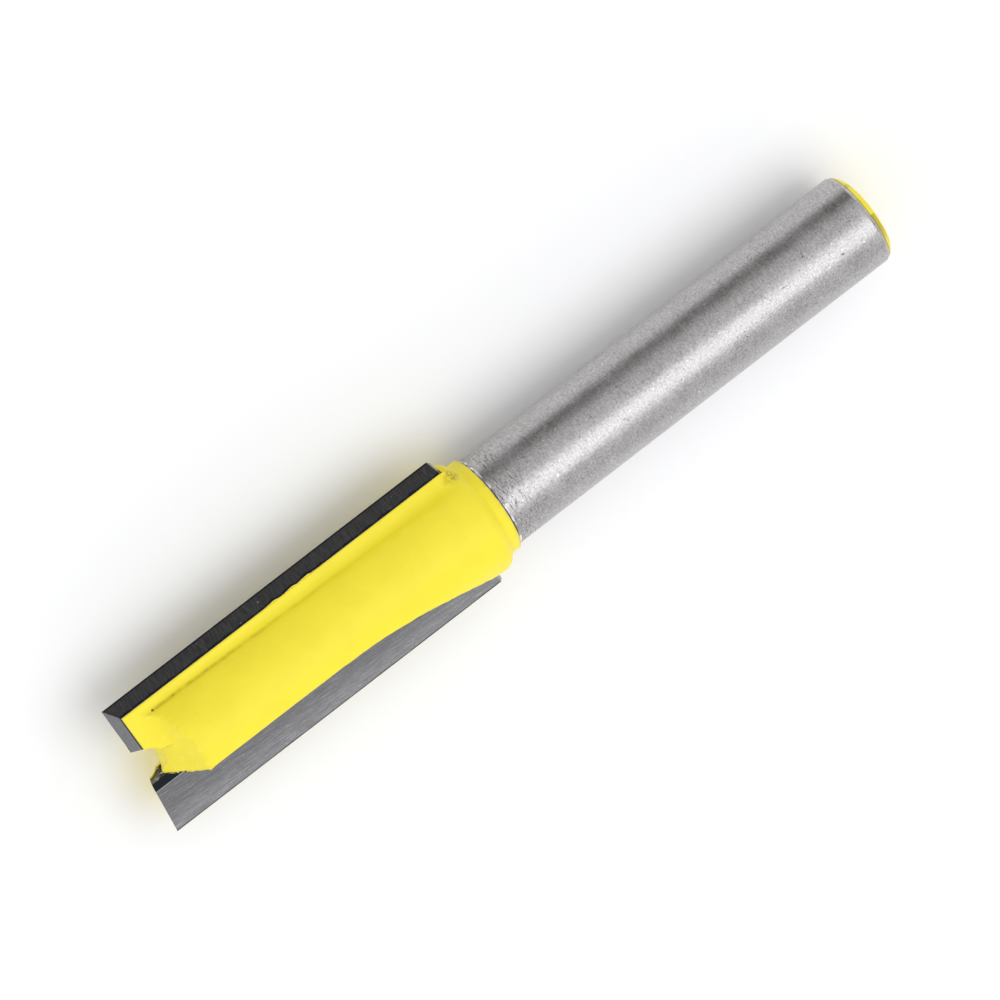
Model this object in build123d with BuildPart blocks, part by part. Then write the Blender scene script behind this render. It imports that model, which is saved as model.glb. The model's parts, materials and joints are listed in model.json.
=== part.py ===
from build123d import *
import os
from math import cos, radians, sin, sqrt, tan

# Two-flute straight router bit, in millimetres.
# The tool axis is X: the shank runs towards -X and the cutting end towards +X.
# X = 0 is the junction of shank and neck, and +Z is up as the bit lies on its head.
os.makedirs("parts", exist_ok=True)

# Shank, ground to fit a collet
shank_diameter = 8.0
shank_length = 38.2
shank_bevel = 0.75
shank_bevel_bulge = 0.06

# Neck and shoulder, as turned
neck_diameter = 8.32
neck_length = 0.85
neck_fillet = 0.25
shoulder_angle = 50.0
shoulder_round = 0.8

# Fluted head
head_diameter = 9.8
web_thickness = 2.8
gullet_curve = 15.1
gullet_runout_radius = 38.0
facet_setback = 1.7
facet_angle = 25.0

# Carbide plates
cutting_diameter = 12.0
cutting_length = 32.8
plate_gap = 2.1
plate_thickness = 2.0
side_clearance = 18.0
end_clearance = 16.0
end_dish = 3.25
rear_bevel = 0.2
rake_land = 0.75
rake_relief = 0.04

# Notch ground through the centre of the cutting end
notch_width = 3.2
notch_depth = 2.26
notch_turn = 12.0
notch_offset = 0.1

# Silver braze
braze_film = 0.1
braze_inset = 0.12
braze_sag = 0.1
braze_toe_front = 27.0
braze_toe_rear = 35.0
braze_pool = 1.25
braze_tail = 0.7
braze_wrap = 0.6

# Paint
coat_thickness = 0.1
end_paint_thickness = 0.07
end_paint_reach = 0.45

# Rise of the rake face of plate 2 above the level, as the bit lies
plate_lift = -7.0

shank_radius = shank_diameter / 2
neck_radius = neck_diameter / 2
head_radius = head_diameter / 2
cutting_radius = cutting_diameter / 2
tip_x = plate_gap + cutting_length
runout_x = plate_gap + gullet_curve
seat_wall = web_thickness / 2
facet_slope = tan(radians(facet_angle))
notch_radius = notch_width / 2

# Cutters run this far past the bit.
clear = cutting_radius
beyond_tip = tip_x + clear
beyond_edge = cutting_radius + clear

# Turned like this, the bit lies on its painted head, clear of both plates.
edge_angle_2 = plate_lift
edge_angle_1 = edge_angle_2 + 180


def outward_of(edge_angle):
    """The direction from the axis towards a cutting edge."""
    return Vector(0, cos(radians(edge_angle)), sin(radians(edge_angle)))


def back_of(edge_angle):
    """The direction from a rake face into the back of its plate."""
    return Vector(0, sin(radians(edge_angle)), -cos(radians(edge_angle)))


def rake_plane(edge_angle):
    """Sketch x along the tool, sketch y towards the cutting edge, normal off the rake face."""
    return Plane(origin=(0, 0, 0), x_dir=(1, 0, 0), z_dir=back_of(edge_angle) * -1)


def side_plane(edge_angle, reach):
    """Sketch x along the tool, sketch y into the back of the plate, at a reach from the axis."""
    outward = outward_of(edge_angle)
    return Plane(origin=outward * reach, x_dir=(1, 0, 0), z_dir=outward)


def cross_plane(edge_angle, station):
    """Sketch x towards the cutting edge, sketch y into the back, normal towards the shank."""
    return Plane(origin=(station, 0, 0), x_dir=outward_of(edge_angle), z_dir=(-1, 0, 0))


def runout_reach(length, wall, radius):
    """Distance of the gullet wall from the axis, this far along its run-out arc."""
    return wall + radius - sqrt(radius**2 - length**2)


def runout_length(reach, wall, radius):
    """How far along the run-out arc the gullet wall reaches this distance from the axis."""
    return sqrt(radius**2 - (wall + radius - reach) ** 2)


def turned_head(growth):
    """The turned neck, shoulder and head, with every surface moved out by the growth."""
    half_turn = tan(radians(shoulder_angle / 2))
    rise = head_radius - neck_radius
    foot_x = neck_length - growth * half_turn
    top_x = foot_x + rise / tan(radians(shoulder_angle))
    foot = (foot_x, neck_radius + growth)
    top = (top_x, head_radius + growth)
    with BuildPart() as turned:
        with BuildSketch(Plane.XY) as outline:
            with BuildLine():
                Polyline(
                    (0, 0),
                    (0, neck_radius + growth),
                    foot,
                    top,
                    (tip_x, head_radius + growth),
                    (tip_x, 0),
                    close=True,
                )
            make_face()
            fillet(outline.vertices().sort_by_distance(foot)[0], neck_fillet - growth)
            fillet(outline.vertices().sort_by_distance(top)[0], shoulder_round + growth)
        revolve(axis=Axis.X)
    return turned.part


def gullet_cutter(edge_angle, growth):
    """The open space ahead of a rake face, with the curved run-out a milling wheel leaves."""
    wall = seat_wall + growth
    radius = gullet_runout_radius - growth
    exit_reach = head_radius + clear
    exit_x = runout_x - runout_length(exit_reach, wall, radius)
    with BuildPart() as cutter:
        with BuildSketch(rake_plane(edge_angle)):
            with BuildLine():
                Line((beyond_tip, wall), (runout_x, wall))
                TangentArc((runout_x, wall), (exit_x, exit_reach), tangent=(-1, 0))
                Line((exit_x, exit_reach), (beyond_tip, exit_reach))
                Line((beyond_tip, exit_reach), (beyond_tip, wall))
            make_face()
        extrude(amount=head_radius + clear)
    return cutter.part


def plate_block(edge_angle, inner_gap, rear_gap, depth, outer_reach, front_x):
    """A block behind a rake face, its inner edge following the gullet wall at a gap."""
    wall = seat_wall + inner_gap
    radius = gullet_runout_radius - inner_gap
    rear_x = plate_gap - rear_gap
    rear_reach = runout_reach(runout_x - rear_x, wall, radius)
    with BuildPart() as block:
        with BuildSketch(rake_plane(edge_angle)):
            with BuildLine():
                Line((front_x, wall), (runout_x, wall))
                TangentArc((runout_x, wall), (rear_x, rear_reach), tangent=(-1, 0))
                Line((rear_x, rear_reach), (rear_x, outer_reach))
                Line((rear_x, outer_reach), (front_x, outer_reach))
                Line((front_x, outer_reach), (front_x, wall))
            make_face()
        extrude(amount=-depth)
    return block.part


def braze_fillet(edge_angle, growth):
    """The fillet between a plate's back and the head, broader towards the shank, with a short tail."""
    flank_reach = cutting_radius - plate_thickness * tan(radians(side_clearance))
    rear_x = plate_gap - growth
    lower_depth = plate_thickness - braze_wrap - growth
    # The paint reaches the flank, and the braze stops short of it.
    side_reach = cutting_radius if growth else flank_reach - braze_inset / 2
    tail_share = neck_radius / cutting_radius
    sections = (
        (rear_x - braze_tail, braze_toe_rear, tail_share),
        (rear_x, braze_toe_rear, 1),
        (tip_x, braze_toe_front, 1),
    )
    with BuildPart() as filled:
        for station, toe_angle, share in sections:
            toe_turn = radians(toe_angle)
            toe_side = Vector(cos(toe_turn), sin(toe_turn))
            sag = Vector(sin(toe_turn), cos(toe_turn)) * braze_sag
            start = Vector(seat_wall + braze_film, lower_depth) * share
            side = Vector(side_reach, lower_depth) * share
            corner = Vector(side_reach, plate_thickness + growth) * share
            crest = Vector(flank_reach - braze_inset, plate_thickness + growth) * share
            toe = toe_side * (head_radius + growth) * share
            middle = (crest + toe) / 2 - sag * share
            under_toe = Vector(start.X, toe.Y)
            with BuildSketch(cross_plane(edge_angle, station)):
                with BuildLine():
                    Line(start, side)
                    Line(side, corner)
                    Line(corner, crest)
                    ThreePointArc(crest, middle, toe)
                    Line(toe, under_toe)
                    Line(under_toe, start)
                make_face()
        loft(ruled=True)
    return filled.part


def facet_cutters(edge_angle, growth, brazed):
    """Takes the head back from the cutting end, behind one rake plane."""
    across = head_radius + clear
    shift = growth / cos(radians(facet_angle))
    ridge_x = tip_x - facet_setback + shift
    bare_reach = seat_wall + braze_film - growth if brazed else across
    with BuildPart() as cutter:
        with BuildSketch(side_plane(edge_angle, -across)):
            with BuildLine():
                Polyline(
                    (ridge_x, 0),
                    (beyond_tip, 0),
                    (beyond_tip, across),
                    (ridge_x - facet_slope * across, across),
                    close=True,
                )
            make_face()
        extrude(amount=across + bare_reach)
        if brazed:
            # Beside the plate the braze pools between the plate's back and the facet.
            back_depth = plate_thickness + growth
            corner_x = ridge_x - facet_slope * back_depth
            pool_start = (corner_x + braze_pool, back_depth)
            pool_end = (
                corner_x - braze_pool * sin(radians(facet_angle)),
                back_depth + braze_pool * cos(radians(facet_angle)),
            )
            with BuildSketch(side_plane(edge_angle, bare_reach)):
                with BuildLine():
                    Line((beyond_tip, back_depth), pool_start)
                    TangentArc(pool_start, pool_end, tangent=(-1, 0))
                    Line(pool_end, (ridge_x - facet_slope * across, across))
                    Line((ridge_x - facet_slope * across, across), (beyond_tip, across))
                    Line((beyond_tip, across), (beyond_tip, back_depth))
                make_face()
            extrude(amount=across)
    return cutter.part


def notch_cutter(growth):
    """The round-bottomed notch through the centre of the cutting end, less the paint in it."""
    outward = outward_of(edge_angle_1)
    turn = radians(notch_turn)
    through = outward * sin(turn) + back_of(edge_angle_1) * cos(turn)
    centre_x = tip_x - notch_depth + notch_radius
    with BuildPart() as cutter:
        with BuildSketch(Plane(origin=outward * notch_offset, x_dir=(1, 0, 0), z_dir=through)):
            with Locations((centre_x, 0)):
                Circle(notch_radius - growth)
            with Locations((centre_x + clear / 2, 0)):
                Rectangle(clear, notch_width - 2 * growth)
        extrude(amount=cutting_diameter, both=True)
    return cutter.part


def side_grind(edge_angle):
    """What the side clearance grind takes off a plate and the paint behind it."""
    depth = cutting_radius
    with BuildPart() as grind:
        with BuildSketch(cross_plane(edge_angle, beyond_tip)):
            with BuildLine():
                Polyline(
                    (cutting_radius, 0),
                    (cutting_radius + clear, 0),
                    (cutting_radius + clear, depth),
                    (cutting_radius - depth * tan(radians(side_clearance)), depth),
                    close=True,
                )
            make_face()
        extrude(amount=beyond_tip + clear)
    return grind.part


def end_grind(edge_angle):
    """What the end clearance grind takes off one plate and the paint behind it."""
    outward = outward_of(edge_angle)
    facing = (
        Vector(1, 0, 0)
        - outward * tan(radians(end_dish))
        + back_of(edge_angle) * tan(radians(end_clearance))
    )
    corner = Vector(tip_x, 0, 0) + outward * cutting_radius
    with BuildPart() as grind:
        with BuildSketch(Plane(origin=corner, x_dir=outward, z_dir=facing)):
            with Locations((seat_wall / 2 - cutting_radius, 0)):
                Rectangle(cutting_radius + clear, 2 * clear, align=(Align.MIN, Align.CENTER))
        extrude(amount=clear)
    return grind.part


def head_form(growth, brazed):
    """The fluted head before its seats are cut, with every surface moved out by the growth."""
    with BuildPart() as form:
        add(turned_head(growth))
        for edge_angle in (edge_angle_1, edge_angle_2):
            if brazed:
                add(braze_fillet(edge_angle, growth))
        for edge_angle in (edge_angle_1, edge_angle_2):
            add(gullet_cutter(edge_angle, growth), mode=Mode.SUBTRACT)
            add(facet_cutters(edge_angle, growth, brazed), mode=Mode.SUBTRACT)
    return form.part


def carbide_plate(edge_angle):
    """A plate with its ground rake face, side and end clearances and rear bevel."""
    with BuildPart() as plate:
        add(plate_block(edge_angle, braze_film, 0, plate_thickness, cutting_radius, tip_x))
        with BuildSketch(rake_plane(edge_angle)):
            with Locations((plate_gap - clear, seat_wall + braze_film + rake_land)):
                Rectangle(cutting_length + 2 * clear, clear, align=(Align.MIN, Align.MIN))
        extrude(amount=-rake_relief, mode=Mode.SUBTRACT)
        add(side_grind(edge_angle), mode=Mode.SUBTRACT)
        add(end_grind(edge_angle), mode=Mode.SUBTRACT)
        rear_face = plate.faces().sort_by(Axis.X)[0]
        flank_edge = rear_face.edges().sort_by(Axis((0, 0, 0), outward_of(edge_angle)))[-1]
        chamfer(flank_edge, rear_bevel)
        add(notch_cutter(0), mode=Mode.SUBTRACT)
    return plate.part


# One bar of steel: shank, neck and fluted head with its two plate seats.
bevel_half = shank_bevel / 2
bevel_middle = (
    -shank_length + bevel_half - shank_bevel_bulge,
    shank_radius - bevel_half + shank_bevel_bulge,
)
seat_depth = plate_thickness + braze_film
with BuildPart() as steel_body:
    add(head_form(0, brazed=False))
    with BuildSketch(Plane.XY):
        with BuildLine():
            Line((0, 0), (-shank_length, 0))
            Line((-shank_length, 0), (-shank_length, shank_radius - shank_bevel))
            ThreePointArc(
                (-shank_length, shank_radius - shank_bevel),
                bevel_middle,
                (-shank_length + shank_bevel, shank_radius),
            )
            Line((-shank_length + shank_bevel, shank_radius), (0, shank_radius))
            Line((0, shank_radius), (0, 0))
        make_face()
    revolve(axis=Axis.X)
    for edge_angle in (edge_angle_1, edge_angle_2):
        seat = plate_block(edge_angle, 0, braze_film, seat_depth, beyond_edge, beyond_tip)
        add(seat, mode=Mode.SUBTRACT)
    add(notch_cutter(0), mode=Mode.SUBTRACT)
steel_body.part.label = "steel_body"
export_step(steel_body.part, "parts/steel_body.step")

# Two carbide plates, half a turn apart.
for number, edge_angle in enumerate((edge_angle_1, edge_angle_2), start=1):
    with BuildPart() as plate:
        add(carbide_plate(edge_angle))
    plate.part.label = f"carbide_plate_{number}"
    export_step(plate.part, f"parts/carbide_plate_{number}.step")

# Braze under, beside and behind each plate.
with BuildPart() as brazed_head:
    add(head_form(0, brazed=True))
    add(notch_cutter(0), mode=Mode.SUBTRACT)
for number, edge_angle in enumerate((edge_angle_1, edge_angle_2), start=1):
    with BuildPart() as seam:
        add(brazed_head.part)
        add(steel_body.part, mode=Mode.SUBTRACT)
        plate_space = plate_block(edge_angle, braze_film, 0, plate_thickness, beyond_edge, beyond_tip)
        add(plate_space, mode=Mode.SUBTRACT)
        split(bisect_by=Plane(origin=(0, 0, 0), z_dir=outward_of(edge_angle)), keep=Keep.TOP)
    seam.part.label = f"braze_seam_{number}"
    export_step(seam.part, f"parts/braze_seam_{number}.step")

# Paint over the neck and head and in the notch, ground away with the plates.
with BuildPart() as paint_coat:
    add(head_form(coat_thickness, brazed=True))
    add(brazed_head.part, mode=Mode.SUBTRACT)
    for edge_angle in (edge_angle_1, edge_angle_2):
        plate_space = plate_block(edge_angle, 0, 0, plate_thickness, beyond_edge, beyond_tip)
        add(plate_space, mode=Mode.SUBTRACT)
        add(side_grind(edge_angle), mode=Mode.SUBTRACT)
        add(end_grind(edge_angle), mode=Mode.SUBTRACT)
    add(notch_cutter(coat_thickness), mode=Mode.SUBTRACT)
paint_coat.part.label = "paint_coat"
export_step(paint_coat.part, "parts/paint_coat.step")

# A dab of paint over the free end of the shank and part of its bevel.
paint_face_x = -shank_length - end_paint_thickness
paint_edge_x = -shank_length + end_paint_reach
with BuildPart() as shank_end_paint:
    with BuildSketch(Plane.XY):
        with BuildLine():
            Line((0, 0), (paint_face_x, 0))
            Line((paint_face_x, 0), (paint_face_x, shank_radius - shank_bevel))
            ThreePointArc(
                (paint_face_x, shank_radius - shank_bevel),
                (bevel_middle[0] - end_paint_thickness, bevel_middle[1]),
                (paint_face_x + shank_bevel, shank_radius),
            )
            Line((paint_face_x + shank_bevel, shank_radius), (0, shank_radius))
            Line((0, shank_radius), (0, 0))
        make_face()
    revolve(axis=Axis.X)
    add(steel_body.part, mode=Mode.SUBTRACT)
    split(bisect_by=Plane(origin=(paint_edge_x, 0, 0), z_dir=(-1, 0, 0)), keep=Keep.TOP)
shank_end_paint.part.label = "shank_end_paint"
export_step(shank_end_paint.part, "parts/shank_end_paint.step")
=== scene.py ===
import json
import math
import bmesh
import bpy
import numpy as np
from mathutils import Matrix, Vector, noise
from mathutils.bvhtree import BVHTree
from mathutils.kdtree import KDTree


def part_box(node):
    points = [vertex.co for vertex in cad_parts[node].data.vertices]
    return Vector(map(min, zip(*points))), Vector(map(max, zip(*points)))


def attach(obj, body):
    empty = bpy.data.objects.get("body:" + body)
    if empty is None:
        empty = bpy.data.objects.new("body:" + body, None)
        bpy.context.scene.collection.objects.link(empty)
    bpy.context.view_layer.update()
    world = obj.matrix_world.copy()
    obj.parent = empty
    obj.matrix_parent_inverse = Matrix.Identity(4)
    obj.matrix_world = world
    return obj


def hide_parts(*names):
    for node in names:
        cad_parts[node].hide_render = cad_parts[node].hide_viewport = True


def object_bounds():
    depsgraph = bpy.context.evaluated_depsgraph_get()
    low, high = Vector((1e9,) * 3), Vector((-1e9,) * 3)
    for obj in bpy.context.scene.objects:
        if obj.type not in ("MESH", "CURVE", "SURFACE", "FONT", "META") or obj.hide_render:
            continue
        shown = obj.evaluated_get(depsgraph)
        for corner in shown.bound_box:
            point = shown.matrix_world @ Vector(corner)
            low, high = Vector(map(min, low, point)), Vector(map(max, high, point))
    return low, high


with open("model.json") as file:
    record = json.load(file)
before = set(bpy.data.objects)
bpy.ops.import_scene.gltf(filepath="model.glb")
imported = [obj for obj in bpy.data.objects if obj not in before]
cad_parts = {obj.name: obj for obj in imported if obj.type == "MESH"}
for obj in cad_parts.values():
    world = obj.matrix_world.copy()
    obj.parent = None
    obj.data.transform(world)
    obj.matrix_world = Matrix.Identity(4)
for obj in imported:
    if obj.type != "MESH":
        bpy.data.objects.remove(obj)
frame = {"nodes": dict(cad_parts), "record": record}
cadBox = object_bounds()
mm = 0.001


# where things are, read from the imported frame

def farthestPoint(node):
    points = [v.co for v in frame["nodes"][node].data.vertices]
    return max(points, key=lambda p: math.hypot(p.y, p.z))


edgePoint = farthestPoint("carbide_plate_2")
edgeRadius = math.hypot(edgePoint.y, edgePoint.z)
rakeRelief = 0.04 * mm                                            # ground off the rake face by the edge
edgeTurn = math.atan2(edgePoint.z, edgePoint.y) + math.asin(rakeRelief / edgeRadius)
axis = Vector((1, 0, 0))                                          # along the bit, to the cutting end
outward = Vector((0, math.cos(edgeTurn), math.sin(edgeTurn)))     # from the axis to that edge
backward = Vector((0, math.sin(edgeTurn), -math.cos(edgeTurn)))   # from its rake face into the plate
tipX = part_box("carbide_plate_2")[1].x
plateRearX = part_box("carbide_plate_2")[0].x
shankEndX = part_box("steel_body")[0].x
floorZ = cadBox[0][2]
print("frame read: cutting edge at", round(math.degrees(edgeTurn), 1), "degrees")


# camera

view = {
    "tilt": 12.5,            # degrees that the cutting end leans towards the camera
    "across": 23.5,          # degrees from the rake face of plate 2 to the picture plane
    "slope": 37.61,          # degrees that the shank climbs in the picture
    "distance": 2.0,         # metres, a long lens
    "width": 0.078125,       # metres across the picture at the bit
    "axisPoint": -0.272,     # mm, the point on the axis that the photo is measured from
    "middle": (0.797, 0.367),    # mm from there to the picture's middle, along and across the bit
    "sensor": 36,            # mm
    "clip": (0.05, 20),      # metres, the nearest and farthest that is seen
}


def setCamera():
    tilt, slope = math.radians(view["tilt"]), math.radians(view["slope"])
    acrossTurn = edgeTurn + math.radians(view["across"])
    across = Vector((0, math.cos(acrossTurn), math.sin(acrossTurn)))
    facing = Vector((0, -math.sin(acrossTurn), math.cos(acrossTurn)))
    toCamera = Vector((math.sin(tilt), 0, 0)) + facing * math.cos(tilt)
    alongShank = Vector((-math.cos(tilt), 0, 0)) + facing * math.sin(tilt)
    right = alongShank * math.cos(slope) + across * math.sin(slope)
    up = alongShank * math.sin(slope) - across * math.cos(slope)
    middle = Vector((view["axisPoint"] * mm, 0, 0))
    middle += alongShank * view["middle"][0] * mm + across * view["middle"][1] * mm
    data = bpy.data.cameras.new("studioCamera")
    data.sensor_width = view["sensor"]
    data.lens = data.sensor_width * view["distance"] / view["width"]
    data.clip_start, data.clip_end = view["clip"]
    camera = bpy.data.objects.new("studioCamera", data)
    turn = Matrix((right, up, toCamera)).transposed().to_4x4()
    camera.matrix_world = Matrix.Translation(middle + toCamera * view["distance"]) @ turn
    bpy.context.scene.collection.objects.link(camera)
    bpy.context.scene.camera = camera
    return toCamera, across, facing


toCamera, across, facing = setCamera()
print("camera set, looking from", [round(c, 3) for c in toCamera])


# floor, lamps and the room that the metal mirrors

studio = {
    "floorSize": 3.0,        # metres from the middle to a side
    "floorColour": (0.985, 0.985, 0.985),
    "floorRough": 0.9,
    "floorShine": 0.1,
    "keyTurn": 32,           # degrees from the camera's side of the bit towards plate 2
    "keyLean": -6.0,         # degrees along the bit, below zero towards the shank
    "keyDistance": 0.6,      # metres
    "keySize": (0.6, 0.42),  # metres, along and across the bit
    "keyPower": 1.15,        # watts
    "keyColour": (0.955, 0.975, 1.0),
    "fillRise": 32,          # degrees up, ahead of the cutting end
    "fillDistance": 0.7,
    "fillSize": (0.5, 0.4),
    "fillPower": 0.3,
    "roomTurn": -83,         # degrees from the camera's side to the dark side of the room
    "roomFade": (0.5, 0.9),  # how squarely that side is faced where the dark starts and is full
    "roomLight": 0.84,
    "roomDark": 0.17,
    "lightTint": (1, 1, 1.01),
    "darkTint": (1, 0.97, 0.94),
}


def shaded(colour, factor):
    return tuple(c * factor for c in colour)


def turned(degreesAcross, degreesAlong=0.0):
    a, b = math.radians(degreesAcross), math.radians(degreesAlong)
    return (facing * math.cos(a) + across * math.sin(a)) * math.cos(b) + Vector((math.sin(b), 0, 0))


def makeFloor():
    size = studio["floorSize"]
    mesh = bpy.data.meshes.new("studioFloor")
    corners = [(-size, -size, floorZ), (size, -size, floorZ), (size, size, floorZ), (-size, size, floorZ)]
    mesh.from_pydata(corners, [], [(0, 1, 2, 3)])
    floor = bpy.data.objects.new("studioFloor", mesh)
    bpy.context.scene.collection.objects.link(floor)
    paper = bpy.data.materials.new("palePaper")
    paper.use_nodes = True
    bsdf = paper.node_tree.nodes["Principled BSDF"]
    bsdf.inputs["Base Color"].default_value = (*studio["floorColour"], 1)
    bsdf.inputs["Roughness"].default_value = studio["floorRough"]
    bsdf.inputs["Specular IOR Level"].default_value = studio["floorShine"]
    mesh.materials.append(paper)


def softLamp(name, size, power):
    data = bpy.data.lights.new(name, "AREA")
    data.shape = "RECTANGLE"
    data.size, data.size_y = size
    data.energy = power
    lamp = bpy.data.objects.new(name, data)
    lamp.visible_camera = False
    bpy.context.scene.collection.objects.link(lamp)
    return lamp


def makeKey():
    key = softLamp("softKey", studio["keySize"], studio["keyPower"])
    key.data.color = studio["keyColour"]
    direction = turned(studio["keyTurn"], studio["keyLean"]).normalized()
    beside = direction.cross(axis).normalized()
    turn = Matrix((beside.cross(direction), beside, direction)).transposed().to_4x4()
    key.matrix_world = Matrix.Translation(direction * studio["keyDistance"]) @ turn


def makeFill():
    fill = softLamp("softFill", studio["fillSize"], studio["fillPower"])
    rise = math.radians(studio["fillRise"])
    direction = Vector((math.cos(rise), 0, math.sin(rise)))
    fill.location = direction * studio["fillDistance"]
    fill.rotation_euler = direction.to_track_quat("Z", "Y").to_euler()


def makeRoom():
    world = bpy.data.worlds.new("studioRoom")
    bpy.context.scene.world = world
    world.use_nodes = True
    nodes, links = world.node_tree.nodes, world.node_tree.links
    background = nodes["Background"]
    coords = nodes.new("ShaderNodeTexCoord")
    facingDark = nodes.new("ShaderNodeVectorMath")
    facingDark.operation = "DOT_PRODUCT"
    facingDark.inputs[1].default_value = turned(studio["roomTurn"])
    ramp = nodes.new("ShaderNodeValToRGB")
    ramp.color_ramp.interpolation = "EASE"
    light = shaded(studio["lightTint"], studio["roomLight"])
    dark = shaded(studio["darkTint"], studio["roomDark"])
    for stop, position, colour in zip(ramp.color_ramp.elements, studio["roomFade"], (light, dark)):
        stop.position = position
        stop.color = (*colour, 1)
    links.new(coords.outputs["Generated"], facingDark.inputs[0])
    links.new(facingDark.outputs["Value"], ramp.inputs["Fac"])
    links.new(ramp.outputs["Color"], background.inputs["Color"])
    background.inputs["Strength"].default_value = 1.0


makeFloor()
makeKey()
makeFill()
makeRoom()
bpy.context.scene.view_settings.view_transform = "Standard"
print("studio lit")


# node helpers for the finishes, which measure in mm

class Finish:
    def __init__(self, name):
        self.material = bpy.data.materials.new(name)
        self.material.use_nodes = True
        self.nodes = self.material.node_tree.nodes
        self.links = self.material.node_tree.links
        self.bsdf = self.nodes["Principled BSDF"]
        coords = self.nodes.new("ShaderNodeTexCoord")
        self.position, self.normal = coords.outputs["Object"], coords.outputs["Normal"]

    def feed(self, value, socket):
        if isinstance(value, bpy.types.NodeSocket):
            self.links.new(value, socket)
        elif isinstance(value, tuple) and len(value) == 3 and len(socket.default_value) == 4:
            socket.default_value = (*value, 1)
        else:
            socket.default_value = value

    def shade(self, **values):
        for name, value in values.items():
            self.feed(value, self.bsdf.inputs[name.replace("_", " ")])

    def math(self, operation, a, b=0.0):
        node = self.nodes.new("ShaderNodeMath")
        node.operation = operation
        self.feed(a, node.inputs[0])
        self.feed(b, node.inputs[1])
        return node.outputs[0]

    def add(self, *values):
        total = values[0]
        for value in values[1:]:
            total = self.math("ADD", total, value)
        return total

    def minus(self, a, b):
        return self.math("SUBTRACT", a, b)

    def times(self, *values):
        total = values[0]
        for value in values[1:]:
            total = self.math("MULTIPLY", total, value)
        return total

    def invert(self, value):
        return self.minus(1.0, value)

    def blend(self, parts, shares):
        return self.add(*[self.times(part, share) for part, share in zip(parts, shares)])

    def length(self, *values):
        return self.math("SQRT", self.add(*[self.times(value, value) for value in values]))

    def along(self, direction, source=None, scale=1 / mm):
        node = self.nodes.new("ShaderNodeVectorMath")
        node.operation = "DOT_PRODUCT"
        self.links.new(source or self.position, node.inputs[0])
        node.inputs[1].default_value = Vector(direction) * scale
        return node.outputs["Value"]

    def axes(self):
        return self.along((1, 0, 0)), self.along((0, 1, 0)), self.along((0, 0, 1))

    def facesTo(self, direction):
        return self.along(direction, self.normal, 1)

    def place(self, x, y=0.0, z=0.0):
        node = self.nodes.new("ShaderNodeCombineXYZ")
        for value, socket in zip((x, y, z), node.inputs):
            self.feed(value, socket)
        return node.outputs[0]

    def noise(self, where, scale, detail, rough):
        node = self.nodes.new("ShaderNodeTexNoise")
        self.links.new(where, node.inputs["Vector"])
        node.inputs["Scale"].default_value = scale
        node.inputs["Detail"].default_value = detail
        node.inputs["Roughness"].default_value = rough
        return node.outputs[0]

    def step(self, value, low, high, start=0.0, end=1.0):
        node = self.nodes.new("ShaderNodeMapRange")
        node.interpolation_type = "SMOOTHSTEP"
        self.feed(value, node.inputs["Value"])
        for socket, number in zip(node.inputs[1:5], (low, high, start, end)):
            self.feed(number, socket)
        return node.outputs[0]

    def within(self, value, low, high):
        return self.step(value, low, high, 1.0, 0.0)

    def band(self, value, centre, half, soft):
        return self.within(self.math("ABSOLUTE", self.minus(value, centre)), half, half + soft)

    def patches(self, where, pattern, fade):
        return self.step(self.noise(where, *pattern), *fade)

    def mix(self, factor, a, b):
        node = self.nodes.new("ShaderNodeMix")
        node.data_type = "RGBA"
        self.feed(factor, node.inputs[0])
        self.feed(a, node.inputs[6])
        self.feed(b, node.inputs[7])
        return node.outputs[2]

    def bump(self, height, depth):
        node = self.nodes.new("ShaderNodeBump")
        node.inputs["Strength"].default_value = 1.0
        node.inputs["Distance"].default_value = depth * mm
        self.links.new(height, node.inputs["Height"])
        return node.outputs[0]


def fadeFrom(start, fade):
    return [start / mm + value for value in fade]


def bandFrom(start, band):
    return (start / mm + band[0], *band[1:])


# In the looks a pattern is its cells to the mm, its detail and its roughness. A fade is where it
# starts and is full, with its two strengths after them if they aren't 0 and 1. Patches are a
# pattern and its fade. A band is its place, half its width and its soft border, in mm.


# ground steel of the shank

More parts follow.
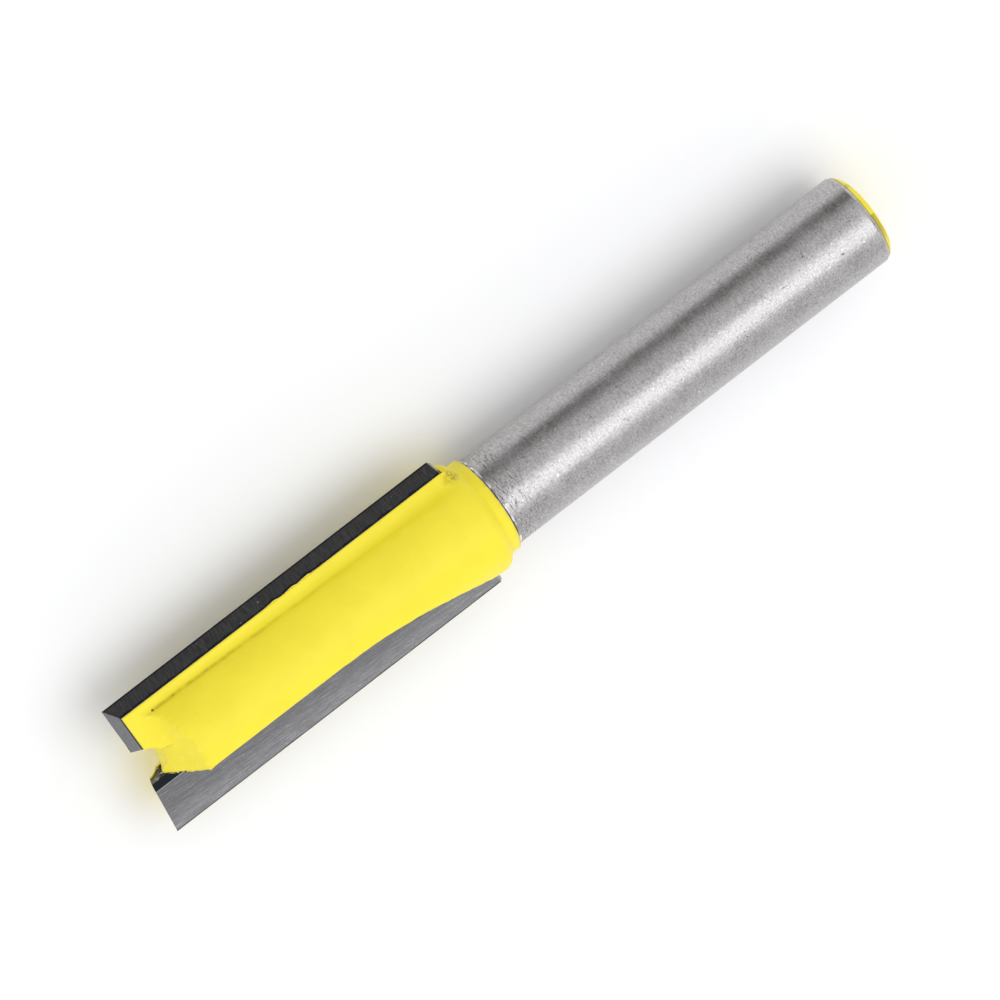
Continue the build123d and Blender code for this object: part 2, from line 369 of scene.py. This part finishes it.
steelLook = {
    "light": (0.565, 0.551, 0.55),
    "dark": (0.355, 0.34, 0.335),
    "gap": (0.035, 0.03, 0.03),          # in marks and pits and between grains
    "glint": (0.86, 0.86, 0.87),
    "gleam": (0.9, 0.9, 0.93),
    "bevelLine": (0.80, 0.78, 0.90),
    "specks": (6.0, 4, 0.75),
    "lines": (1.3, 4, 0.65),
    "linesFiner": 15.0,                  # times finer along the bit than around it
    "cloud": (0.5, 3, 0.5),
    "toneShares": (0.55, 0.35, 0.10),    # of specks, lines and cloud
    "toneFade": (0.40, 0.60),            # from dark to light
    "marks": ((1.6, 3, 0.6), (0.54, 0.62)),      # coarser turning marks by the neck
    "marksFiner": 7.0,
    "marksZone": (-4.5, -0.4),           # mm along the bit
    "marksShare": 0.72,
    "grains": ((8.5, 2, 0.5), (0.56, 0.66)),
    "grainsFiner": 1.4,
    "grainsShare": 0.34,
    "pits": ((3.4, 2, 0.4), (0.715, 0.76)),
    "pitsShare": 0.75,
    "glints": ((4.2, 2, 0.4), (0.70, 0.76)),
    "glintsAside": 40.0,                 # mm, so that they don't follow the pits
    "glintsShare": 0.8,
    "coatLine": (-0.13, 0.035, 0.04),    # the dark line beside the paint
    "coatLineBreaks": ((0.9, 3, 0.5), (0.42, 0.54)),
    "coatLineShare": 0.9,
    "gleamLine": (-0.247, 0.05, 0.05),   # the pale line next to it
    "gleamLineBreaks": ((0.7, 2, 0.5), (0.44, 0.54)),
    "bevelBand": (0.50, 0.03, 0.06),     # the painted highlight on the bevel, from the end of the shank
    "bevelShare": 0.8,
    "roughShares": (0.5, 0.5),           # of cloud and lines
    "roughFade": (0.3, 0.7, 0.27, 0.40),
    "heightShares": (0.45, 0.5, -0.6, -0.6),     # of specks, lines, marks and pits
    "heightDepth": 0.014,                # mm
}


def groundSteel():
    look = steelLook
    f = Finish("groundSteel")
    x, y, z = f.axes()
    here = f.place(x, y, z)
    lines = f.noise(f.place(f.times(x, look["linesFiner"]), y, z), *look["lines"])
    specks = f.noise(here, *look["specks"])
    cloud = f.noise(here, *look["cloud"])
    tone = f.blend((specks, lines, cloud), look["toneShares"])
    colour = f.mix(f.step(tone, *look["toneFade"]), look["dark"], look["light"])

    marks = f.patches(f.place(f.times(x, look["marksFiner"]), y, z), *look["marks"])
    marks = f.times(marks, f.step(x, *look["marksZone"]))
    grains = f.patches(f.place(f.times(x, look["grainsFiner"]), y, z), *look["grains"])
    pits = f.patches(here, *look["pits"])
    glints = f.patches(f.place(x, y, f.add(z, look["glintsAside"])), *look["glints"])
    colour = f.mix(f.times(marks, look["marksShare"]), colour, look["gap"])
    colour = f.mix(f.times(grains, look["grainsShare"]), colour, look["gap"])
    colour = f.mix(f.times(pits, look["pitsShare"]), colour, look["gap"])
    colour = f.mix(f.times(glints, look["glintsShare"]), colour, look["glint"])

    coatLine = f.times(f.band(x, *look["coatLine"]), f.patches(here, *look["coatLineBreaks"]))
    gleamLine = f.times(f.band(x, *look["gleamLine"]), f.patches(here, *look["gleamLineBreaks"]))
    # painted highlight: a pale lilac line along the bevel at the shank's end
    byEnd = f.band(x, *bandFrom(shankEndX, look["bevelBand"]))
    colour = f.mix(f.times(coatLine, look["coatLineShare"]), colour, look["gap"])
    colour = f.mix(gleamLine, colour, look["gleam"])
    colour = f.mix(f.times(byEnd, look["bevelShare"]), colour, look["bevelLine"])

    rough = f.step(f.blend((cloud, lines), look["roughShares"]), *look["roughFade"])
    height = f.blend((specks, lines, marks, pits), look["heightShares"])
    f.shade(Base_Color=colour, Metallic=1.0, Roughness=rough, Normal=f.bump(height, look["heightDepth"]))
    return f.material


# carbide of the plates

carbideLook = {
    "rake": (0.165, 0.164, 0.166),
    "rakeEdge": (0.232, 0.231, 0.234),
    "unground": (0.012, 0.014, 0.017),
    # painted shade: the flank's colour is darker than the rake face's, for the same carbide
    "flank": (0.034, 0.033, 0.034),
    "end": (0.165, 0.170, 0.182),
    # painted highlight: a paler copy of the carbide, on the rear bevel, in glints, the land line and the
    # rear band
    "bevel": (0.30, 0.29, 0.28),
    "black": (0.006, 0.006, 0.010),
    "navy": (0.006, 0.007, 0.022),
    "sparkle": (0.55, 0.55, 0.57),
    "rough": 0.36,
    "heightDepth": 0.014,                # mm
    "thickness": 2.0,                    # mm
    "rakeFacing": (-0.80, -0.90),        # how squarely it faces back from the rake plane
    "endFacing": (0.75, 0.85),           # and along the axis
    "bevelFacing": ((-0.45, -0.55), (-0.95, -0.85)),     # the same, for the plate's rear end
    "notchFacing": (-0.05, -0.25),       # and out from the axis
    "notchZone": (-3.5, -3.0),           # mm from the tip
    "notchSparkle": ((2.2, 3, 0.6), (0.56, 0.66)),

    "scratches": (1.7, 5, 0.7),
    "scratchFiner": (0.35, 7.0),         # along the bit, and out from the axis
    "scratchLean": 0.055,                # mm out for each mm along
    "grit": (9.0, 3, 0.7),
    "rakeShares": (0.65, 0.35),          # of scratches and grit
    "rakeZone": (3.6, 5.8),              # mm from the axis, from the plain colour to the edge's
    "rakeDarker": (0.66, 0.36, 0.0, 0.42),
    "rakePaler": (0.56, 0.72, 0.0, 0.35),
    "palerShade": 2.2,
    "edgeBand": (-0.02, 0.03, 0.04),     # from the cutting edge
    "landReach": 2.27,                   # mm from the axis, where the ground part of the rake face begins
    # the land line is a painted highlight along the step
    "landLine": (0.02, 0.03),            # mm, half its width and its soft border
    "landLineLift": 1.2,
    "rearBand": (0.10, 0.09, 0.05),      # a painted highlight, from the plate's rear
    "rearShare": 0.7,

    "grooves": (1.7, 4, 0.65),
    "groovesFiner": (9.0, 0.5),          # along the bit, and back from the rake face
    "flankLean": 0.2,                    # the grooves lean this many mm along the bit for each mm of depth
    "flankFade": (0.34, 0.68),
    "flankShades": (0.66, 1.55),
    "glints": ((3.4, 2, 0.4), (0.73, 0.78)),
    "glintsShare": 0.5,
    "edgeBlack": (0.17, 0.26),           # mm back from the rake face
    "lap": (14.6, 20.2),                 # mm along the bit, where the paint laps unevenly onto the flank
    "lapSoft": 1.2,
    "lapWander": (1.0, 2, 0.5),
    "lapFiner": 0.8,
    "lapLevel": 0.42,
    "lapMost": 0.9,                      # mm
    "outline": ((1.2, 2, 0.5), (0.35, 0.65, 0.0, 0.14)),     # mm, how much wider the navy line is
    "outlineFiner": 0.9,
    "outlineWidth": (0.16, 0.24),        # mm from the paint
    "paintEdge": (0.0, 0.02),

    "endLines": ((1.8, 4, 0.6), (0.35, 0.70)),
    "endFiner": (1.2, 7.0),              # out, and back
    "endShades": (0.8, 1.3),
    "endNavy": (0.30, 0.20),             # mm from the back of the plate
    "endEdge": (0.02, 0.04, 0.05),
}


def rakeFace(f, x, reach, side, here):
    look = carbideLook
    finerAlong, finerOut = look["scratchFiner"]
    slant = f.add(reach, f.times(x, look["scratchLean"]))
    scratches = f.noise(f.place(f.times(x, finerAlong), f.times(slant, finerOut), side), *look["scratches"])
    tone = f.blend((scratches, f.noise(here, *look["grit"])), look["rakeShares"])
    rake = f.mix(f.step(reach, *look["rakeZone"]), look["rake"], look["rakeEdge"])
    rake = f.mix(f.step(tone, *look["rakeDarker"]), rake, look["black"])
    rake = f.mix(f.step(tone, *look["rakePaler"]), rake, shaded(look["rakeEdge"], look["palerShade"]))
    rake = f.mix(f.band(reach, *bandFrom(edgeRadius, look["edgeBand"])), rake, look["black"])
    land, landHalf = look["landReach"], look["landLine"][0]
    # painted highlight along the edge of the land
    landLine = f.band(reach, land, *look["landLine"])
    rake = f.mix(landLine, rake, shaded(look["bevel"], look["landLineLift"]))
    rake = f.mix(f.within(reach, land - landHalf, land), rake, look["unground"])
    # painted highlight along the plate's rear edge
    byRear = f.band(x, *bandFrom(plateRearX, look["rearBand"]))
    rake = f.mix(f.times(byRear, look["rearShare"]), rake, look["bevel"])
    return rake, scratches


def flankFace(f, x, depth, side, here):
    look = carbideLook
    finerAlong, finerBack = look["groovesFiner"]
    leaning = f.add(f.times(x, finerAlong), f.times(depth, -finerAlong * look["flankLean"]))
    grooves = f.noise(f.place(leaning, f.times(depth, finerBack), side), *look["grooves"])
    # the flank's darker colour is painted shade
    dark, pale = [shaded(look["flank"], shade) for shade in look["flankShades"]]
    flank = f.mix(f.step(grooves, *look["flankFade"]), dark, pale)
    flank = f.mix(f.times(f.patches(here, *look["glints"]), look["glintsShare"]), flank, look["bevel"])
    flank = f.mix(f.within(depth, *look["edgeBlack"]), flank, look["black"])

    lapFrom, lapTo = look["lap"]
    lapStarts = f.step(x, lapFrom, lapFrom + look["lapSoft"])
    lapZone = f.times(lapStarts, f.step(x, lapTo, lapTo - look["lapSoft"]))
    uneven = f.noise(f.place(f.times(x, look["lapFiner"]), side), *look["lapWander"])
    lap = f.times(f.minus(uneven, look["lapLevel"]), lapZone, look["lapMost"])
    fromPaint = f.minus(f.minus(look["thickness"], lap), depth)
    outline = f.patches(f.place(f.times(x, look["outlineFiner"]), side), *look["outline"])
    flank = f.mix(f.within(f.minus(fromPaint, outline), *look["outlineWidth"]), flank, look["navy"])
    flank = f.mix(f.within(fromPaint, *look["paintEdge"]), flank, paintLook["colour"])
    return flank, grooves


def endFace(f, reach, depth, side):
    look = carbideLook
    finerOut, finerBack = look["endFiner"]
    where = f.place(f.times(reach, finerOut), f.times(depth, finerBack), side)
    dark, pale = [shaded(look["end"], shade) for shade in look["endShades"]]
    end = f.mix(f.patches(where, *look["endLines"]), dark, pale)
    navyFade = [look["thickness"] - inside for inside in look["endNavy"]]
    end = f.mix(f.step(depth, *navyFade), end, look["navy"])
    return f.mix(f.band(depth, *look["endEdge"]), end, look["black"])


def groundCarbide():
    look = carbideLook
    f = Finish("groundCarbide")
    x, reachSigned, depthSigned = f.along(axis), f.along(outward), f.along(backward)
    side = f.math("SIGN", reachSigned)
    reach, depth = f.times(reachSigned, side), f.times(depthSigned, side)
    here = f.place(x, reach, depth)
    toFront = f.facesTo(axis)
    onRake = f.step(f.times(f.facesTo(backward), side), *look["rakeFacing"])
    onEnd = f.times(f.step(toFront, *look["endFacing"]), f.invert(onRake))
    onBevel = f.times(*[f.step(toFront, *facingFade) for facingFade in look["bevelFacing"]])
    facesAxis = f.step(f.times(f.facesTo(outward), side), *look["notchFacing"])
    inNotch = f.times(facesAxis, f.step(x, *fadeFrom(tipX, look["notchZone"])))

    rake, scratches = rakeFace(f, x, reach, side, here)
    flank, grooves = flankFace(f, x, depth, side, here)
    colour = f.mix(onRake, flank, rake)
    colour = f.mix(onEnd, colour, endFace(f, reach, depth, side))
    # painted highlight on the faces of the plate's rear bevel
    colour = f.mix(onBevel, colour, look["bevel"])
    sparkling = f.mix(f.patches(here, *look["notchSparkle"]), look["black"], look["sparkle"])
    colour = f.mix(inNotch, colour, sparkling)
    height = f.add(f.times(scratches, onRake), f.times(grooves, f.invert(onRake)))
    f.shade(Base_Color=colour, Metallic=1.0, Roughness=look["rough"])
    f.shade(Normal=f.bump(height, look["heightDepth"]))
    return f.material


# silver braze

brazeLook = {
    "dark": (0.07, 0.065, 0.06),
    "light": (0.86, 0.85, 0.83),
    "lumps": (3.0, 4, 0.5),
    "lumpsFade": (0.45, 0.60),
    "rough": 0.25,
    "heightDepth": 0.03,                 # mm
}


def silverBraze():
    look = brazeLook
    f = Finish("silverBraze")
    lumps = f.noise(f.place(*f.axes()), *look["lumps"])
    colour = f.mix(f.step(lumps, *look["lumpsFade"]), look["dark"], look["light"])
    f.shade(Base_Color=colour, Metallic=1.0, Roughness=look["rough"])
    f.shade(Normal=f.bump(lumps, look["heightDepth"]))
    return f.material


# yellow paint

paintLook = {
    "colour": (0.935, 0.795, 0.05),
    "deep": (0.90, 0.735, 0.018),
    # a paler yellow, only for the painted highlights on the facets
    "light": (0.965, 0.835, 0.10),
    # dark brown for the dirt spots and for the painted shade along the plates
    "dirtAndShade": (0.075, 0.035, 0.004),
    "smudge": (0.26, 0.16, 0.01),
    "crease": (0.33, 0.25, 0.012),
    "bareBright": (0.85, 0.85, 0.86),
    "bareDark": (0.03, 0.03, 0.035),
    "rough": 0.38,
    "shine": 0.2,
    "peel": (1.6, 3, 0.5),
    "fine": (9.0, 3, 0.6),
    "fineShare": 0.06,
    "cloud": (0.45, 3, 0.5),
    "cloudFade": (0.35, 0.65),
    "cloudShade": 0.97,
    "heightShares": (1.0, 0.15, -0.8),   # of peel, fine and the dirt in the crease
    "heightDepth": 0.02,                 # mm

    "creaseFront": (4.41, 2.25),         # mm out and back from the axis, behind a plate at the tip
    "creaseRear": (4.05, 2.84),          # the same at the plate's rear
    "wander": (1.0, 3, 0.5),
    "wanderFiner": 0.5,
    "wanderLevel": 0.5,
    "wanderMost": 0.5,                   # mm
    "dirtWidth": (0.02, 0.30),           # mm from the crease
    "dirtGrows": (17.0, 28.9, 0.25, 1.0),        # mm along the bit
    "dirtEnds": ((32.05, 31.9), (9.0, 16.0)),
    "dirtWorn": ((1.1, 3, 0.6), (0.34, 0.62, 0.35, 1.0)),
    "wornFiner": 0.7,
    "dirtShare": 0.62,
    # painted shade in the deep colour, darker towards the crease
    "creaseShadeWidth": (0.0, 0.80),
    "creaseShadeEnds": ((1.5, 4.0), (32.4, 30.0)),
    "creaseShadeShare": 0.55,
    "spots": ((31.9, 0.20), (29.85, 0.13), (29.3, 0.09)),    # mm along the bit, and their size
    "spotCore": 0.35,                    # the share of a spot that is full
    "spotSide": (0.0, 0.1),              # mm past the axis, so that only plate 1 has them
    "spotShare": 0.9,

    "smudgePlace": (1.9, 4.5, 1.75),     # mm along the bit, out and back
    "smudgeWidth": (0.3, 1.2),
    "smudgeStreaks": ((1.5, 4, 0.7), (0.38, 0.58)),
    "streaksFiner": (1.5, 1.5, 4.0),     # along, out and back
    "smudgeShare": 0.7,
    "rimDepth": (0.10, 0.18),            # mm behind the rake plane, the dark rim along the plates, a painted shade
    "rimInside": 0.1,
    "rimZone": (0.2, 0.5),               # mm from the plate's rear
    "rimShare": 0.8,

    # painted highlights on the facets that look to the tip
    "facetFacing": (0.25, 0.40),         # how squarely the facet looks to the tip
    "facetHighlights": ((1.1, 2, 0.4), (0.56, 0.64)),
    "facetHighlightsShare": 0.6,
    "wallReach": -1.5,                   # mm out from the axis, the painted wall of the gullet
    "wallFade": (0.20, 0.10),            # mm out from the wall
    "wallDepth": (2.9, 2.1),
    "facetBack": 1.59,                   # mm from the tip to where the facet would meet the rake plane
    "facetSlope": 0.466,                 # the tangent of its 25 degrees
    "facetFade": (0.16, 0.05),           # mm behind the facet's edge
    "chips": ((3.2, 3, 0.6), (0.44, 0.50)),      # bare metal along that edge
    "bareTones": ((5.0, 2, 0.5), (0.46, 0.54)),
}


def fromCrease(f, x, reach, depth, side):
    look = paintLook
    rear, front = look["creaseRear"], look["creaseFront"]
    share = f.step(x, plateRearX / mm, tipX / mm)
    uneven = f.noise(f.place(f.times(x, look["wanderFiner"]), side), *look["wander"])
    wander = f.times(f.minus(uneven, look["wanderLevel"]), look["wanderMost"])
    creaseReach = f.add(rear[0], f.times(share, front[0] - rear[0]))
    creaseDepth = f.add(rear[1], f.times(share, front[1] - rear[1]), wander)
    return f.length(f.minus(reach, creaseReach), f.minus(depth, creaseDepth))


def creaseDirt(f, x, side, off):
    look = paintLook
    worn = f.patches(f.place(f.times(x, look["wornFiner"]), side), *look["dirtWorn"])
    growing = f.step(x, *look["dirtGrows"])
    inSpan = f.times(*[f.step(x, *fade) for fade in look["dirtEnds"]])
    return f.times(f.within(off, *look["dirtWidth"]), worn, growing, inSpan)


def creaseSpots(f, x, off, reachSigned):
    look = paintLook
    spots = 0.0
    for place, size in look["spots"]:
        away = f.length(f.minus(x, place), off)
        spots = f.math("MAXIMUM", f.within(away, size * look["spotCore"], size), spots)
    return f.times(spots, f.step(f.times(reachSigned, -1.0), *look["spotSide"]))


def smudgeByNeck(f, x, reach, depth):
    look = paintLook
    away = f.length(*[f.minus(value, place) for value, place in zip((x, reach, depth), look["smudgePlace"])])
    where = [f.times(value, finer) for value, finer in zip((x, reach, depth), look["streaksFiner"])]
    return f.times(f.within(away, *look["smudgeWidth"]), f.patches(f.place(*where), *look["smudgeStreaks"]))


# painted shade: a dark line on the paint along the plates' edge
def plateRim(f, x, reach, depth):
    look, land = paintLook, carbideLook["landReach"]
    onLand = f.step(f.math("ABSOLUTE", reach), land - look["rimInside"], land)
    pastRear = f.step(x, *fadeFrom(plateRearX, look["rimZone"]))
    return f.times(f.within(depth, *look["rimDepth"]), onLand, pastRear)


def chippedEdge(f, x, reach, depth, here):
    look = paintLook
    onWall = f.step(reach, *[look["wallReach"] + out for out in look["wallFade"]])
    onWall = f.times(onWall, f.step(depth, *look["wallDepth"]))
    edge = tipX / mm - look["facetBack"]
    sloped = f.add(x, f.times(depth, look["facetSlope"]))
    byFacet = f.step(sloped, *[edge - back for back in look["facetFade"]])
    return f.times(onWall, byFacet, f.patches(here, *look["chips"]))


def yellowPaint():
    look = paintLook
    f = Finish("yellowPaint")
    x, y, z = f.axes()
    here = f.place(x, y, z)
    reachSigned, depthSigned = f.along(outward), f.along(backward)
    side = f.math("SIGN", depthSigned)
    reach, depth = f.times(reachSigned, side), f.times(depthSigned, side)
    peel, fine, cloud = [f.noise(here, *look[name]) for name in ("peel", "fine", "cloud")]
    off = fromCrease(f, x, reach, depth, side)
    dirtAndShade = creaseDirt(f, x, side, off)
    # painted shade: the paint darkens towards the crease behind each plate
    creaseShade = f.times(f.within(off, *look["creaseShadeWidth"]), *[f.step(x, *fade) for fade in look["creaseShadeEnds"]])
    spots = creaseSpots(f, x, off, reachSigned)
    smudge = smudgeByNeck(f, x, reach, depth)
    rim = plateRim(f, x, reach, depth)
    # painted highlights: pale patches on the faces that look to the tip
    facetHighlights = f.times(f.step(f.facesTo(axis), *look["facetFacing"]), f.patches(here, *look["facetHighlights"]))
    chip = chippedEdge(f, x, reach, depth, here)

    paler = shaded(look["colour"], look["cloudShade"])
    colour = f.mix(f.step(cloud, *look["cloudFade"]), look["colour"], paler)
    colour = f.mix(f.times(creaseShade, look["creaseShadeShare"]), colour, look["deep"])
    colour = f.mix(f.times(facetHighlights, look["facetHighlightsShare"]), colour, look["light"])
    colour = f.mix(f.times(fine, look["fineShare"]), colour, look["deep"])
    colour = f.mix(f.times(dirtAndShade, look["dirtShare"]), colour, look["crease"])
    colour = f.mix(f.times(spots, look["spotShare"]), colour, look["dirtAndShade"])
    colour = f.mix(f.times(smudge, look["smudgeShare"]), colour, look["smudge"])
    colour = f.mix(f.times(rim, look["rimShare"]), colour, look["dirtAndShade"])
    bare = f.mix(f.patches(here, *look["bareTones"]), look["bareDark"], look["bareBright"])
    colour = f.mix(chip, colour, bare)
    height = f.blend((peel, fine, dirtAndShade), look["heightShares"])
    f.shade(Base_Color=colour, Metallic=chip, Roughness=look["rough"])
    f.shade(Normal=f.bump(height, look["heightDepth"]), Specular_IOR_Level=look["shine"])
    return f.material


# the dab of the same paint on the shank's end

dabLook = {
    "shadedSide": (0.40, 0.335, 0.03),         # painted shade on one side of the dab's rim
    "cloud": (1.4, 3, 0.5),
    "cloudFade": (0.35, 0.65),
    "shadedZone": (0.05, 0.13),            # mm from the shank's end
    "shadedSides": ((0.35, 0.45), (3.4, 1.6)),     # mm across the picture
    "shadedShare": 0.8,
    "rim": (2.9, 3.3),                   # mm from the axis
    "mark": (-2.55, 0.10, 0.12),         # a darker streak in the colour of the painted shade, across the picture
    "markFade": (0.3, 0.6),
    "markShare": 0.5,
    "heightDepth": 0.03,                 # mm
}


def endPaint():
    look = dabLook
    f = Finish("endPaint")
    x, y, z = f.axes()
    sideways = f.along(across)
    cloud = f.noise(f.place(x, y, z), *look["cloud"])
    fromEnd = f.step(x, *fadeFrom(shankEndX, look["shadedZone"]))
    onRim = f.step(f.length(y, z), *look["rim"])
    # painted shade on one side of the rim, across the picture
    shadedSide = f.times(fromEnd, *[f.step(sideways, *fade) for fade in look["shadedSides"]], onRim)
    mark = f.times(f.band(sideways, *look["mark"]), onRim, f.step(cloud, *look["markFade"]))
    colour = f.mix(f.step(cloud, *look["cloudFade"]), paintLook["colour"], paintLook["deep"])
    colour = f.mix(f.times(shadedSide, look["shadedShare"]), colour, look["shadedSide"])
    colour = f.mix(f.times(mark, look["markShare"]), colour, look["shadedSide"])
    f.shade(Base_Color=colour, Roughness=paintLook["rough"], Specular_IOR_Level=paintLook["shine"])
    f.shade(Normal=f.bump(cloud, look["heightDepth"]))
    return f.material


finishes = {
    "steel": groundSteel(),
    "carbide": groundCarbide(),
    "braze": silverBraze(),
    "yellow_paint": yellowPaint(),
}
for part in frame["record"]["subparts"]:
    node = frame["nodes"][part["node"]]
    node.data.materials.clear()
    node.data.materials.append(finishes[part["material_slot"]])
frame["nodes"]["shank_end_paint"].data.materials[0] = endPaint()
print("finishes given")


# the paint coat again, finer, with the rounded edges, beads and slight waves of a dipped coat

coatShape = {
    "merge": 1e-7,           # metres, points nearer than this become one
    "flat": 0.4,             # degrees, faces this near to one plane are joined first
    "cell": 0.42,            # mm, side of the cells that the mesh is cut into
    "cutNear": 1e-8,         # metres, points this near to a cut lie on it
    "touching": 0.03,        # mm, nearer than this to the metal is the underside
    "softenRounds": 9,
    "softenShares": (0.5, -0.526),   # in, then a little farther out, so that it doesn't shrink
    "leastEdge": 0.02,       # mm, shorter edges pull no harder than this
    "mostMove": 0.045,       # mm, so that no metal comes through
    "leastMove": 1e-12,      # metres, so that nothing is divided by zero
    "bead": 0.025,           # mm high
    "beadReach": 0.3,        # mm from the rim
    "wave": 0.016,           # mm high
    "waveCells": 0.8,        # to the mm
    "waveAlong": 0.45,       # times as many along the bit
    "seed": Vector((3.1, 7.7, 1.3)),
    "sharp": 50,             # degrees
}


def metalSurface():
    joined = bmesh.new()
    for part in frame["record"]["subparts"]:
        if part["material_slot"] != "yellow_paint":
            joined.from_mesh(frame["nodes"][part["node"]].data)
    tree = BVHTree.FromBMesh(joined)
    joined.free()
    return tree


def cutIntoCells(bm):
    shape = coatShape
    flat = math.radians(shape["flat"])
    bmesh.ops.remove_doubles(bm, verts=bm.verts, dist=shape["merge"])
    bmesh.ops.dissolve_limit(bm, angle_limit=flat, verts=bm.verts, edges=bm.edges)
    cell = shape["cell"] * mm
    for direction in (axis, outward, backward):
        reaches = [v.co.dot(direction) for v in bm.verts]
        count = math.ceil((max(reaches) - min(reaches)) / cell)
        for number in range(1, count):
            place = direction * (min(reaches) + number * cell)
            everything = bm.verts[:] + bm.edges[:] + bm.faces[:]
            bmesh.ops.bisect_plane(
                bm, geom=everything, plane_co=place, plane_no=direction, dist=shape["cutNear"])
    bmesh.ops.triangulate(bm, faces=bm.faces)


def soften(bm, free):
    shape = coatShape
    start = np.array([v.co for v in bm.verts])
    ends = np.array([[v.index for v in e.verts] for e in bm.edges])
    edgeLength = np.linalg.norm(start[ends[:, 0]] - start[ends[:, 1]], axis=1)
    weight = 1 / np.maximum(edgeLength, shape["leastEdge"] * mm)
    total = np.bincount(ends.ravel(), np.repeat(weight, 2), len(start))[:, None]
    place = start.copy()
    for share in shape["softenShares"] * shape["softenRounds"]:
        pull = (place[ends[:, 1]] - place[ends[:, 0]]) * weight[:, None]
        drift = np.zeros_like(place)
        np.add.at(drift, ends[:, 0], pull)
        np.add.at(drift, ends[:, 1], -pull)
        place += share * free[:, None] * drift / total
    move = place - start
    length = np.linalg.norm(move, axis=1, keepdims=True)
    move *= np.minimum(1, shape["mostMove"] * mm / np.maximum(length, shape["leastMove"]))
    for vert, point in zip(bm.verts, start + move):
        vert.co = point


def makeCoat():
    shape = coatShape
    metal = metalSurface()
    touching = shape["touching"] * mm
    bm = bmesh.new()
    bm.from_mesh(frame["nodes"]["paint_coat"].data)
    cutIntoCells(bm)
    bm.verts.index_update()
    bm.verts.ensure_lookup_table()
    under = {v for v in bm.verts if metal.find_nearest(v.co)[3] < touching}
    rim = {e.other_vert(v) for v in under for e in v.link_edges} - under
    rimTree = KDTree(len(rim))
    for vert in rim:
        rimTree.insert(vert.co, vert.index)
    rimTree.balance()
    free = np.array([0.0 if v in under or v in rim else 1.0 for v in bm.verts])
    soften(bm, free)
    bm.normal_update()
    for vert in bm.verts:
        if free[vert.index]:
            fromRim = rimTree.find(vert.co)[2] / mm
            bead = shape["bead"] * math.exp(-((fromRim / shape["beadReach"] - 1) ** 2))
            where = Vector((vert.co.x * shape["waveAlong"], vert.co.y, vert.co.z))
            where = where / mm * shape["waveCells"] + shape["seed"]
            vert.co += vert.normal * mm * (bead + shape["wave"] * noise.noise(where))
    mesh = bpy.data.meshes.new("paintCoat")
    bm.to_mesh(mesh)
    bm.free()
    mesh.materials.append(finishes["yellow_paint"])
    mesh.shade_smooth()
    mesh.set_sharp_from_angle(angle=math.radians(shape["sharp"]))
    coat = bpy.data.objects.new("paintCoat", mesh)
    bpy.context.scene.collection.objects.link(coat)
    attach(coat, "root")
    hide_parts("paint_coat")
    print("coat made,", len(mesh.polygons), "faces")


makeCoat()

print("cad box", [[round(v / mm, 2) for v in c] for c in cadBox])
